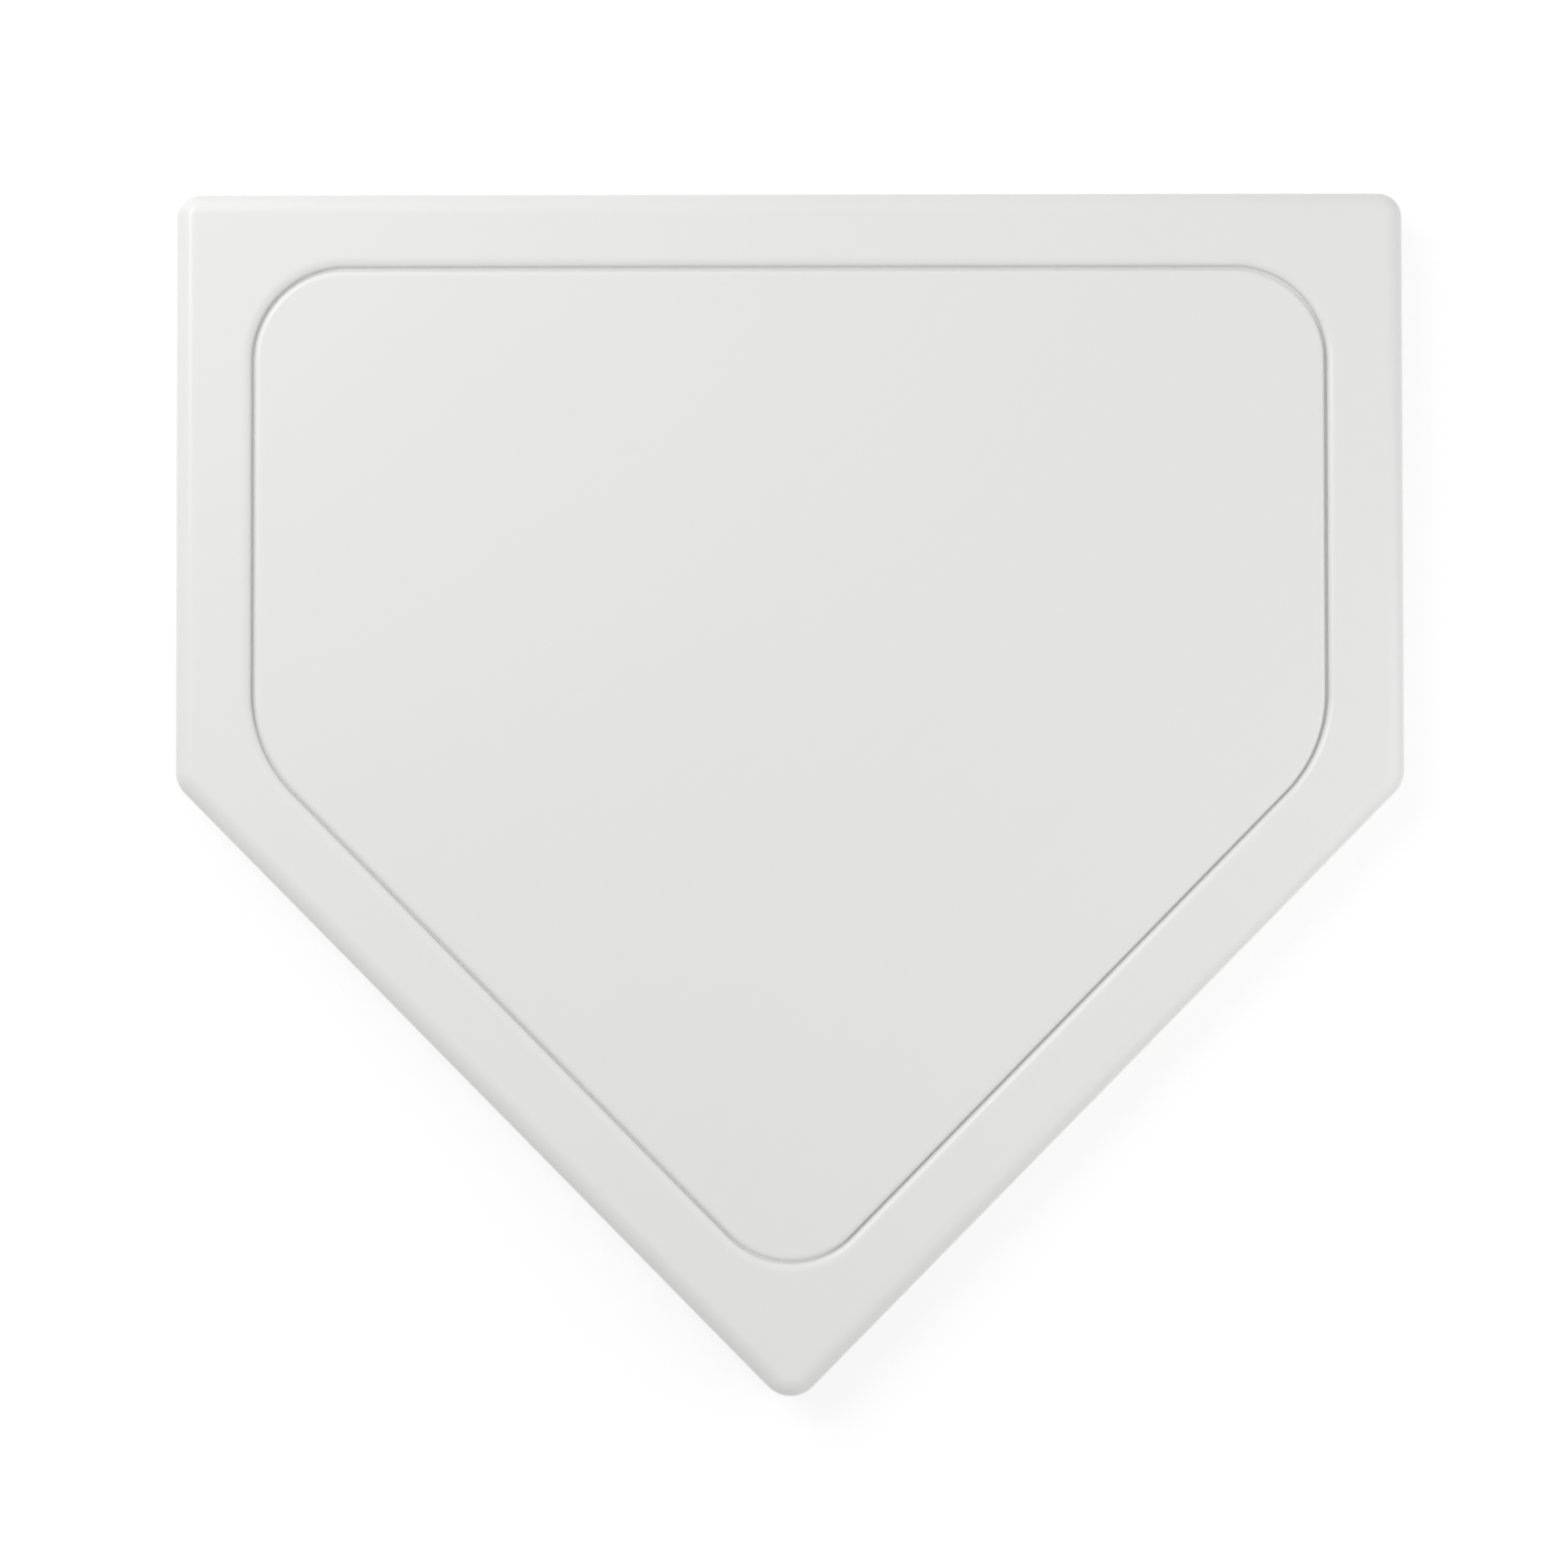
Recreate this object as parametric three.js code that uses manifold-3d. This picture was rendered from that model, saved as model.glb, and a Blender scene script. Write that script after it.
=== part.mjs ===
// Home plate for baseball and softball: a white rubber rim cover moulded to fit over a plywood core,
// with a white rubber panel set flush into its top. Screws under the panel clamp the cover to the core.
// Five threaded sockets in the core take ground spikes from below.
// Millimetres, +Z up. The origin is the middle of the plate's outline, on the ground.
// +Y points from the apex to the front edge.

import * as THREE from "three";
import { mergeVertices } from "three/addons/utils/BufferGeometryUtils.js";
import Module from "manifold-3d";

const wasm = await Module();
wasm.setup();

// Plan of the plate, with its corners taken sharp
const PLATE_WIDTH = 431.8; // 17 in along the front edge
const SIDE_LENGTH = 207.9; // front corner to shoulder
const SLOPE_DEPTH = 219.2; // shoulder line to apex

// Layers from the ground up
const CORE_THICKNESS = 15; // plywood
const WEB_THICKNESS = 5.8; // rubber between the core and the panel
const PANEL_THICKNESS = 4;
const FIT_GAP = 0.3; // glue line, or clearance between pieces that seat on each other

// Rim cover
const EDGE_ROUND = 7.6; // quarter round along the top edge
const FRONT_FACE_CORNER = 0.9; // corner radii of the flat top, inside the edge round
const SHOULDER_FACE_CORNER = 2.9;
const APEX_FACE_CORNER = 3.5;
const SOLE_CHAMFER = 1.2; // along the outer edge of the underside
const SKIRT_WIDTH = 16; // wall round the core
const CAVITY_CORNER = 8;

// Recess in the rim cover, and the panel in it
const BORDER_FRONT = 26.4; // outline to the wall of the recess
const BORDER_SIDE = 27.3;
const BORDER_SLOPE = 27.45;
const PANEL_GAP = 1; // open joint line round the panel
const JOINT_DEPTH = 2.65; // top face to the foot of the panel, which fits the recess
const LIP_ROUND = 2.2; // on the rim, where the border rolls down into the joint line
const PANEL_EDGE_ROUND = 1.4;
const PANEL_FRONT_CORNER = 31.8;
const PANEL_SHOULDER_CORNER = 50;
const PANEL_APEX_CORNER = 29.1;

// Screws and washers that clamp the cover to the core
const SCREW_SETBACK = 20; // from the panel's edge
const SCREWS_ON_FRONT = 3;
const SCREWS_ON_SIDE = 1;
const SCREWS_ON_SLOPE = 2;
const SCREW_SHANK_RADIUS = 2.1;
const SCREW_POINT_LENGTH = 4;
const SCREW_TIP_COVER = 3; // wood left below the point
const SCREW_HEAD_RADIUS = 4.4;
const SCREW_HEAD_RIM = 0.9; // straight part of the head, below its dome
const SCREW_HEAD_DOME = 1.1;
const DRIVE_SLOT_LENGTH = 4.6; // cross recess in the head
const DRIVE_SLOT_WIDTH = 1;
const DRIVE_SLOT_DEPTH = 1.3;
const WASHER_RADIUS = 9;
const WASHER_THICKNESS = 1.2;

// Spike sockets: pronged tee nuts, let into the top of the core
const SOCKET_SETBACK = 34; // from the panel's edge
const SOCKET_BORE_RADIUS = 4; // core of a 3/8 in coarse thread
const SOCKET_BARREL_RADIUS = 6;
const SOCKET_FLANGE_RADIUS = 12.5;
const SOCKET_FLANGE_THICKNESS = 1.6;
const SOCKET_MOUTH_DEPTH = 1; // barrel's end to the underside of the core
const PRONG_COUNT = 4;
const PRONG_WIDTH = 3;
const PRONG_THICKNESS = 1.6;
const PRONG_LENGTH = 6; // below the flange

// Facets
const CORNER_STEPS = 4; // half the segments of a rounded corner
const ROUND_STEPS = 6; // rings of a rounded edge
const HOLE_SIDES = 20;
const SCREW_SIDES = 12;

// Heights that follow from the layers
const CAVITY_TOP = CORE_THICKNESS + FIT_GAP;
const RECESS_FLOOR = CAVITY_TOP + WEB_THICKNESS;
const PANEL_BOTTOM = RECESS_FLOOR + FIT_GAP;
const PLATE_HEIGHT = PANEL_BOTTOM + PANEL_THICKNESS;
const HEAD_SEAT = RECESS_FLOOR - SCREW_HEAD_RIM - SCREW_HEAD_DOME;
const WASHER_BOTTOM = HEAD_SEAT - FIT_GAP - WASHER_THICKNESS;
const COUNTERBORE_FLOOR = WASHER_BOTTOM - FIT_GAP;
const FLANGE_BOTTOM = CORE_THICKNESS - SOCKET_FLANGE_THICKNESS;
const OVERCUT = 1; // how far a cutting tool runs past the face it opens

// Materials
const WHITE_RUBBER = { color: 0xe6e6e4, roughness: 0.62, metalness: 0 };
const PANEL_RUBBER = { color: 0xe5e5e3, roughness: 0.66, metalness: 0 };
const PLYWOOD = { color: 0xc9a672, roughness: 0.75, metalness: 0 };
const ZINC_STEEL = { color: 0xb9bcc0, roughness: 0.35, metalness: 1 };

// Outlines: each is the plate's five edges, moved in by insets, with its own corner radii.
const RIM = {
  insets: { front: 0, side: 0, slope: 0 },
  radii: {
    front: EDGE_ROUND + FRONT_FACE_CORNER,
    shoulder: EDGE_ROUND + SHOULDER_FACE_CORNER,
    apex: EDGE_ROUND + APEX_FACE_CORNER,
  },
};
const CAVITY = {
  insets: { front: SKIRT_WIDTH, side: SKIRT_WIDTH, slope: SKIRT_WIDTH },
  radii: { front: CAVITY_CORNER, shoulder: CAVITY_CORNER, apex: CAVITY_CORNER },
};
const PANEL = {
  insets: {
    front: BORDER_FRONT + PANEL_GAP,
    side: BORDER_SIDE + PANEL_GAP,
    slope: BORDER_SLOPE + PANEL_GAP,
  },
  radii: {
    front: PANEL_FRONT_CORNER,
    shoulder: PANEL_SHOULDER_CORNER,
    apex: PANEL_APEX_CORNER,
  },
};

// The sharp corners of an outline grown outwards, anticlockwise from the front right corner.
function sharpCorners({ insets }, grow) {
  const halfPlate = PLATE_WIDTH / 2;
  const slopeLength = Math.hypot(halfPlate, SLOPE_DEPTH);
  const halfWidth = halfPlate - insets.side + grow;
  const frontY = SIDE_LENGTH - insets.front + grow;
  const apexY = ((insets.slope - grow) * slopeLength) / halfPlate - SLOPE_DEPTH;
  const shoulderY = apexY + (halfWidth * SLOPE_DEPTH) / halfPlate;
  return {
    frontRight: new THREE.Vector2(halfWidth, frontY),
    frontLeft: new THREE.Vector2(-halfWidth, frontY),
    leftShoulder: new THREE.Vector2(-halfWidth, shoulderY),
    apex: new THREE.Vector2(0, apexY),
    rightShoulder: new THREE.Vector2(halfWidth, shoulderY),
  };
}

// The points of an outline grown outwards, with its corners rounded. Every outline has as many points.
function outlinePoints(base, grow = 0) {
  const corners = Object.values(sharpCorners(base, grow));
  const { front, shoulder, apex } = base.radii;
  const radii = [front, front, shoulder, apex, shoulder];
  const shape = new THREE.Shape();
  corners.forEach((corner, i) => {
    const before = corners[(i + corners.length - 1) % corners.length];
    const after = corners[(i + 1) % corners.length];
    const arriving = corner.clone().sub(before).normalize();
    const leaving = after.clone().sub(corner).normalize();
    const turn = Math.acos(arriving.dot(leaving));
    const radius = radii[i] + grow;
    const start = corner.clone().addScaledVector(arriving, -radius * Math.tan(turn / 2));
    const centre = start.clone().add(new THREE.Vector2(-arriving.y, arriving.x).multiplyScalar(radius));
    const startAngle = Math.atan2(start.y - centre.y, start.x - centre.x);
    shape.absarc(centre.x, centre.y, radius, startAngle, startAngle + turn, false);
  });
  return shape.getPoints(CORNER_STEPS);
}

function ring(base, grow, z) {
  return { points: outlinePoints(base, grow), z };
}

// Rings of a quarter round, from its foot on a wall up to the top face.
// Material lies inside the wall of an outer edge, and outside the wall of a recess.
function roundedEdge(base, wallGrow, materialInside, radius, top) {
  const inward = materialInside ? -1 : 1;
  return Array.from({ length: ROUND_STEPS + 1 }, (_, i) => {
    const angle = ((Math.PI / 2) * i) / ROUND_STEPS;
    const grow = wallGrow + inward * radius * (1 - Math.cos(angle));
    return ring(base, grow, top - radius + radius * Math.sin(angle));
  });
}

// A closed solid through a row of rings: the first ring is closed facing down, the last facing up.
function solidThroughRings(rings) {
  const count = rings[0].points.length;
  const positions = rings.flatMap(({ points, z }) => points.flatMap(({ x, y }) => [x, y, z]));
  const faces = [];
  for (let level = 0; level + 1 < rings.length; level++) {
    for (let i = 0; i < count; i++) {
      const a = level * count + i;
      const b = level * count + ((i + 1) % count);
      faces.push(a, b, b + count, a, b + count, a + count);
    }
  }
  const lastRing = (rings.length - 1) * count;
  for (const [a, b, c] of THREE.ShapeUtils.triangulateShape(rings[0].points, [])) {
    faces.push(c, b, a);
  }
  for (const [a, b, c] of THREE.ShapeUtils.triangulateShape(rings.at(-1).points, [])) {
    faces.push(lastRing + a, lastRing + b, lastRing + c);
  }
  const geometry = new THREE.BufferGeometry();
  geometry.setAttribute("position", new THREE.Float32BufferAttribute(positions, 3));
  geometry.setIndex(faces);
  return geometry;
}

function drum(radius, low, high, sides = HOLE_SIDES) {
  const geometry = new THREE.CylinderGeometry(radius, radius, high - low, sides);
  return geometry.rotateX(Math.PI / 2).translate(0, 0, (low + high) / 2);
}

// A profile of radius and height, turned about Z. It rises along its outer side.
function turned(profile, sides) {
  const points = profile.map(([radius, z]) => new THREE.Vector2(radius, z));
  return new THREE.LatheGeometry(points, sides).rotateX(Math.PI / 2);
}

function toSolid(geometry) {
  const bare = geometry.clone();
  bare.deleteAttribute("normal");
  bare.deleteAttribute("uv");
  const merged = mergeVertices(bare);
  const vertProperties = merged.getAttribute("position").array;
  const triVerts = new Uint32Array(merged.index.array);
  return new wasm.Manifold(new wasm.Mesh({ numProp: 3, vertProperties, triVerts }));
}

function toGeometry(solid) {
  const mesh = solid.getMesh();
  const geometry = new THREE.BufferGeometry();
  geometry.setAttribute("position", new THREE.BufferAttribute(mesh.vertProperties, 3));
  geometry.setIndex(new THREE.BufferAttribute(mesh.triVerts, 1));
  return geometry;
}

function cut(geometry, tools) {
  return toGeometry(tools.reduce((solid, tool) => solid.subtract(toSolid(tool)), toSolid(geometry)));
}

function join(geometry, others) {
  return toGeometry(others.reduce((solid, other) => solid.add(toSolid(other)), toSolid(geometry)));
}

// Where the screws go: evenly along each edge of an outline inside the panel.
function screwPlaces() {
  const corners = sharpCorners(PANEL, -SCREW_SETBACK);
  const edges = [
    ["front", corners.frontLeft, corners.frontRight, SCREWS_ON_FRONT],
    ["left_side", corners.frontLeft, corners.leftShoulder, SCREWS_ON_SIDE],
    ["right_side", corners.frontRight, corners.rightShoulder, SCREWS_ON_SIDE],
    ["left_slope", corners.leftShoulder, corners.apex, SCREWS_ON_SLOPE],
    ["right_slope", corners.rightShoulder, corners.apex, SCREWS_ON_SLOPE],
  ];
  return edges.flatMap(([edge, from, to, count]) =>
    Array.from({ length: count }, (_, i) => ({
      label: count > 1 ? `${edge}_${i + 1}` : edge,
      at: from.clone().lerp(to, (i + 0.5) / count),
    })),
  );
}

// Where the spike sockets go: one in each corner of the plate.
function socketPlaces() {
  const corners = sharpCorners(PANEL, -SOCKET_SETBACK);
  return [
    { label: "front_left", at: corners.frontLeft },
    { label: "front_right", at: corners.frontRight },
    { label: "left_shoulder", at: corners.leftShoulder },
    { label: "right_shoulder", at: corners.rightShoulder },
    { label: "apex", at: corners.apex },
  ];
}

function placed(geometries, { x, y }) {
  return geometries.map((geometry) => geometry.translate(x, y, 0));
}

// Rim cover: skirt, rounded border and the web under the panel, in one moulding.
function rimCover() {
  const recessDepth = PLATE_HEIGHT - RECESS_FLOOR;
  const lip = roundedEdge(PANEL, PANEL_GAP, false, Math.min(LIP_ROUND, recessDepth), PLATE_HEIGHT);
  const moulding = solidThroughRings([
    ring(CAVITY, 0, CAVITY_TOP),
    ring(CAVITY, 0, 0),
    ring(RIM, -SOLE_CHAMFER, 0),
    ring(RIM, 0, SOLE_CHAMFER),
    ...roundedEdge(RIM, 0, true, EDGE_ROUND, PLATE_HEIGHT),
    ...lip.reverse(),
    ring(PANEL, PANEL_GAP, RECESS_FLOOR),
  ]);
  const screwHoles = screwPlaces().flatMap(({ at }) =>
    placed(
      [
        drum(WASHER_RADIUS + FIT_GAP, COUNTERBORE_FLOOR, RECESS_FLOOR + OVERCUT),
        drum(SCREW_SHANK_RADIUS + FIT_GAP, CAVITY_TOP - OVERCUT, RECESS_FLOOR, SCREW_SIDES),
      ],
      at,
    ),
  );
  return cut(moulding, screwHoles);
}

// Panel: one sheet with an eased top edge, over a thin foot that fits the recess.
function topPanel() {
  const easing = Math.min(PANEL_EDGE_ROUND, JOINT_DEPTH);
  const footTop = PLATE_HEIGHT - JOINT_DEPTH;
  return solidThroughRings([
    ring(PANEL, PANEL_GAP - FIT_GAP, PANEL_BOTTOM),
    ring(PANEL, PANEL_GAP - FIT_GAP, footTop),
    ring(PANEL, 0, footTop),
    ...roundedEdge(PANEL, 0, true, easing, PLATE_HEIGHT),
  ]);
}

// Core board: fills the rim cover from below, drilled for the screws and let in for the sockets.
function coreBoard() {
  const board = solidThroughRings([ring(CAVITY, -FIT_GAP, 0), ring(CAVITY, -FIT_GAP, CORE_THICKNESS)]);
  const above = CORE_THICKNESS + OVERCUT;
  const pilotHoles = screwPlaces().flatMap(({ at }) =>
    placed([drum(SCREW_SHANK_RADIUS + FIT_GAP, SCREW_TIP_COVER - FIT_GAP, above, SCREW_SIDES)], at),
  );
  const socketPockets = socketPlaces().flatMap(({ at }) =>
    placed(
      [
        drum(SOCKET_BARREL_RADIUS + FIT_GAP, -OVERCUT, above),
        drum(SOCKET_FLANGE_RADIUS + FIT_GAP, FLANGE_BOTTOM - FIT_GAP, above),
        ...prongs(FIT_GAP),
      ],
      at,
    ),
  );
  return cut(board, [...pilotHoles, ...socketPockets]);
}

// The prongs bent down from a socket's flange, or the slots they make when grown by a clearance.
function prongs(clearance = 0) {
  const height = SOCKET_FLANGE_THICKNESS + PRONG_LENGTH + clearance;
  const reach = SOCKET_FLANGE_RADIUS - PRONG_THICKNESS / 2;
  return Array.from({ length: PRONG_COUNT }, (_, i) =>
    new THREE.BoxGeometry(PRONG_THICKNESS + 2 * clearance, PRONG_WIDTH + 2 * clearance, height)
      .translate(reach, 0, CORE_THICKNESS - height / 2)
      .rotateZ((2 * Math.PI * (i + 0.5)) / PRONG_COUNT),
  );
}

// Spike socket: flange, barrel and prongs of one steel tee nut.
function spikeSocket() {
  const nut = turned(
    [
      [SOCKET_BORE_RADIUS, SOCKET_MOUTH_DEPTH],
      [SOCKET_BARREL_RADIUS, SOCKET_MOUTH_DEPTH],
      [SOCKET_BARREL_RADIUS, FLANGE_BOTTOM],
      [SOCKET_FLANGE_RADIUS, FLANGE_BOTTOM],
      [SOCKET_FLANGE_RADIUS, CORE_THICKNESS],
      [SOCKET_BORE_RADIUS, CORE_THICKNESS],
      [SOCKET_BORE_RADIUS, SOCKET_MOUTH_DEPTH],
    ],
    HOLE_SIDES,
  );
  return join(nut, prongs());
}

// Cover screw: pan head with a cross recess, plain shank and point.
function coverScrew() {
  const headTop = RECESS_FLOOR;
  const domeFoot = HEAD_SEAT + SCREW_HEAD_RIM;
  const screw = turned(
    [
      [0, SCREW_TIP_COVER],
      [SCREW_SHANK_RADIUS, SCREW_TIP_COVER + SCREW_POINT_LENGTH],
      [SCREW_SHANK_RADIUS, HEAD_SEAT],
      [SCREW_HEAD_RADIUS, HEAD_SEAT],
      [SCREW_HEAD_RADIUS, domeFoot],
      [SCREW_HEAD_RADIUS * Math.SQRT1_2, domeFoot + SCREW_HEAD_DOME * Math.SQRT1_2],
      [0, headTop],
    ],
    SCREW_SIDES,
  );
  const slotHeight = DRIVE_SLOT_DEPTH + OVERCUT;
  const slots = [0, Math.PI / 2].map((angle) =>
    new THREE.BoxGeometry(DRIVE_SLOT_LENGTH, DRIVE_SLOT_WIDTH, slotHeight)
      .translate(0, 0, headTop + OVERCUT - slotHeight / 2)
      .rotateZ(angle),
  );
  return cut(screw, slots);
}

// Washer that spreads a screw's pull over the rubber.
function coverWasher() {
  const hole = SCREW_SHANK_RADIUS + FIT_GAP;
  return turned(
    [
      [hole, WASHER_BOTTOM],
      [WASHER_RADIUS, WASHER_BOTTOM],
      [WASHER_RADIUS, WASHER_BOTTOM + WASHER_THICKNESS],
      [hole, WASHER_BOTTOM + WASHER_THICKNESS],
      [hole, WASHER_BOTTOM],
    ],
    HOLE_SIDES,
  );
}

// Assembly
const plate = new THREE.Group();

function addPiece(name, geometry, finish, at = new THREE.Vector2()) {
  const mesh = new THREE.Mesh(geometry, new THREE.MeshStandardMaterial(finish));
  mesh.name = name;
  mesh.position.set(at.x, at.y, 0);
  plate.add(mesh);
}

addPiece("rim_cover", rimCover(), WHITE_RUBBER);
addPiece("top_panel", topPanel(), PANEL_RUBBER);
addPiece("core_board", coreBoard(), PLYWOOD);
for (const { label, at } of screwPlaces()) {
  addPiece(`cover_screw_${label}`, coverScrew(), ZINC_STEEL, at);
  addPiece(`cover_washer_${label}`, coverWasher(), ZINC_STEEL, at);
}
for (const { label, at } of socketPlaces()) {
  addPiece(`spike_socket_${label}`, spikeSocket(), ZINC_STEEL, at);
}

const outlineMiddle = new THREE.Box2().setFromPoints(outlinePoints(RIM)).getCenter(new THREE.Vector2());
plate.position.set(-outlineMiddle.x, -outlineMiddle.y, 0);

const homePlate = new THREE.Group();
homePlate.add(plate);

export default homePlate;
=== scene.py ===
import math
from typing import NamedTuple

import bmesh
import bpy
from mathutils import Matrix, Vector


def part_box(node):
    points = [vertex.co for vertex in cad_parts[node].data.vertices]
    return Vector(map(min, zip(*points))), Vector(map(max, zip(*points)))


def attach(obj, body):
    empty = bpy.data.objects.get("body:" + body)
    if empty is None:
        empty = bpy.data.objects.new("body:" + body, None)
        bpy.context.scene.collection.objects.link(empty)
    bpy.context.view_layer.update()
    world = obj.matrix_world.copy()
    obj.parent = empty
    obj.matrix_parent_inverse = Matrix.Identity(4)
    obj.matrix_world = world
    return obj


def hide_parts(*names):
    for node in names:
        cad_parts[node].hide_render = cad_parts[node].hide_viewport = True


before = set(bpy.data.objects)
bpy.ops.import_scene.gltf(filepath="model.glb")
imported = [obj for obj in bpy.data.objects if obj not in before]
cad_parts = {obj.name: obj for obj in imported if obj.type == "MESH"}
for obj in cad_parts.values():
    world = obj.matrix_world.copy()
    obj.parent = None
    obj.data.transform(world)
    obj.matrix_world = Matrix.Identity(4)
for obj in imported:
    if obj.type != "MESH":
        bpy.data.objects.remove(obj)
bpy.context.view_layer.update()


# Core board
# A five-sided board of birch plywood, sawn to the plan of the plate, eased along its edges and sealed.
# It lies in the rim cover from below, drilled for the screws and let in for the sockets.

SIDE_LENGTH = 0.2079
SLOPE_DEPTH = 0.2192
FIT_GAP = 0.0003
SKIRT_WIDTH = 0.016
CAVITY_CORNER = 0.008
BOARD_EASE = 0.0005
CORNER_STEPS = 24
SHARP_ANGLE = math.radians(35)

rim_low, rim_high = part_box("rim_cover")
board_low, board_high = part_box("core_board")
apex_y = rim_high.y - SIDE_LENGTH - SLOPE_DEPTH
slope_rise = SLOPE_DEPTH / rim_high.x
slope_stretch = math.hypot(1, slope_rise)


class Plan(NamedTuple):
    """The plate's five edges moved in by insets, and the radii of the corners between them."""

    front: float
    side: float
    slope: float
    front_corner: float
    shoulder_corner: float
    apex_corner: float


def plan_ring(plan, grow, z):
    """Points round a plan that is grown outwards, at one height, anticlockwise from the front right."""
    half = rim_high.x - plan.side + grow
    front = rim_high.y - plan.front + grow
    apex = apex_y + (plan.slope - grow) * slope_stretch
    shoulder = apex + half * slope_rise
    corners = [
        (Vector((half, front)), plan.front_corner),
        (Vector((-half, front)), plan.front_corner),
        (Vector((-half, shoulder)), plan.shoulder_corner),
        (Vector((0, apex)), plan.apex_corner),
        (Vector((half, shoulder)), plan.shoulder_corner),
    ]
    ring = []
    for i, (corner, radius) in enumerate(corners):
        arriving = (corner - corners[i - 1][0]).normalized()
        leaving = (corners[(i + 1) % len(corners)][0] - corner).normalized()
        turn = arriving.angle(leaving)
        start = corner - arriving * (radius + grow) * math.tan(turn / 2)
        spoke = -arriving.orthogonal() * (radius + grow)
        centre = start - spoke
        for step in range(CORNER_STEPS + 1):
            point = centre + Matrix.Rotation(turn * step / CORNER_STEPS, 2) @ spoke
            ring.append((point.x, point.y, z))
    return ring


def shade(mesh):
    """Smooth faces, with creases along the sharp edges."""
    mesh.polygons.foreach_set("use_smooth", [True] * len(mesh.polygons))
    mesh.set_sharp_from_angle(angle=SHARP_ANGLE)


def add_object(name, data):
    """A new object in the scene."""
    made = bpy.data.objects.new(name, data)
    bpy.context.scene.collection.objects.link(made)
    return made


def piece_from(name, shape, closed=True):
    """An object with a shape's faces, turned to point out if the shape is closed."""
    mesh = bpy.data.meshes.new(name)
    if closed:
        bmesh.ops.recalc_face_normals(shape, faces=shape.faces)
    shape.to_mesh(mesh)
    shape.free()
    shade(mesh)
    return add_object(name, mesh)


def skinned(name, rings):
    """A closed piece through rings of equally many points, capped at both ends."""
    shape = bmesh.new()
    rows = [[shape.verts.new(point) for point in ring] for ring in rings]
    for low, high in zip(rows, rows[1:]):
        for i, corner in enumerate(low):
            shape.faces.new((low[i - 1], corner, high[i], high[i - 1]))
    shape.faces.new(reversed(rows[0]))
    shape.faces.new(rows[-1])
    return piece_from(name, shape)


cavity = Plan(SKIRT_WIDTH, SKIRT_WIDTH, SKIRT_WIDTH, CAVITY_CORNER, CAVITY_CORNER, CAVITY_CORNER)
board = skinned("plywood_board", [
    plan_ring(cavity, -FIT_GAP - BOARD_EASE, board_low.z),
    plan_ring(cavity, -FIT_GAP, board_low.z + BOARD_EASE),
    plan_ring(cavity, -FIT_GAP, board_high.z - BOARD_EASE),
    plan_ring(cavity, -FIT_GAP - BOARD_EASE, board_high.z),
])

SCREW_SHANK_RADIUS = 0.0021
SOCKET_BARREL_RADIUS = 0.006
SOCKET_FLANGE_THICKNESS = 0.0016
PRONG_COUNT = 4
PRONG_START = math.radians(45)
PRONG_WIDTH = 0.003
PRONG_THICKNESS = 0.0016
PRONG_LENGTH = 0.006
PRONG_INSET = 0.0005
TURNED_SIDES = 48
OVERCUT = 0.001


def nodes_named(start):
    """The CAD nodes whose names start alike, in order."""
    return sorted(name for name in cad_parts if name.startswith(start))


def middle(node):
    """The middle of a CAD node's box."""
    low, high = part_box(node)
    return (low + high) / 2


def half_width(node):
    """The radius of a round CAD node."""
    low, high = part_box(node)
    return (high.x - low.x) / 2


def drum(radius, low, high, place):
    """A solid drum, capped at both ends, to cut a round hole with."""
    angles = [math.tau * i / TURNED_SIDES for i in range(TURNED_SIDES)]
    circle = [(place.x + radius * math.cos(angle), place.y + radius * math.sin(angle)) for angle in angles]
    return skinned("drum", [[(x, y, z) for x, y in circle] for z in (low, high)])


def block(size, centre):
    """The shape of a box."""
    shape = bmesh.new()
    bmesh.ops.create_cube(shape, size=1, matrix=Matrix.Translation(centre) @ Matrix.Diagonal((*size, 1)))
    return shape


def prong_block(place, turn, clearance):
    """A prong from inside a socket's flange down, or, grown by a clearance, the slot that it bites."""
    reach = half_width(socket_nodes[0]) - PRONG_INSET - PRONG_THICKNESS / 2
    top = board_high.z - SOCKET_FLANGE_THICKNESS / 2
    height = SOCKET_FLANGE_THICKNESS / 2 + PRONG_LENGTH + clearance
    size = (PRONG_THICKNESS + 2 * clearance, PRONG_WIDTH + 2 * clearance, height)
    shape = block(size, (reach, 0, top - height / 2))
    shape.transform(Matrix.Translation((place.x, place.y, 0)) @ Matrix.Rotation(turn, 4, "Z"))
    return piece_from("prong", shape)


def carve(piece, tools, operation="DIFFERENCE"):
    """Cuts each tool out of the piece, or joins it on, and takes the tool away."""
    for tool in tools:
        step = piece.modifiers.new(tool.name, "BOOLEAN")
        step.object = tool
        step.operation = operation
        step.solver = "EXACT"
    seen = piece.evaluated_get(bpy.context.evaluated_depsgraph_get())
    piece.data = bpy.data.meshes.new_from_object(seen)
    piece.modifiers.clear()
    shade(piece.data)
    for tool in tools:
        bpy.data.objects.remove(tool)


screw_nodes = nodes_named("cover_screw_")
socket_nodes = nodes_named("spike_socket_")
prong_turns = [PRONG_START + math.tau * i / PRONG_COUNT for i in range(PRONG_COUNT)]
above_board = board_high.z + OVERCUT
flange_seat = board_high.z - SOCKET_FLANGE_THICKNESS - FIT_GAP
board_tools = []
for node in screw_nodes:
    pilot_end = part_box(node)[0].z - FIT_GAP
    board_tools.append(drum(SCREW_SHANK_RADIUS + FIT_GAP, pilot_end, above_board, middle(node)))
for node in socket_nodes:
    place = middle(node)
    board_tools.append(drum(SOCKET_BARREL_RADIUS + FIT_GAP, board_low.z - OVERCUT, above_board, place))
    board_tools.append(drum(half_width(node) + FIT_GAP, flange_seat, above_board, place))
    board_tools += [prong_block(place, turn, FIT_GAP) for turn in prong_turns]
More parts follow.
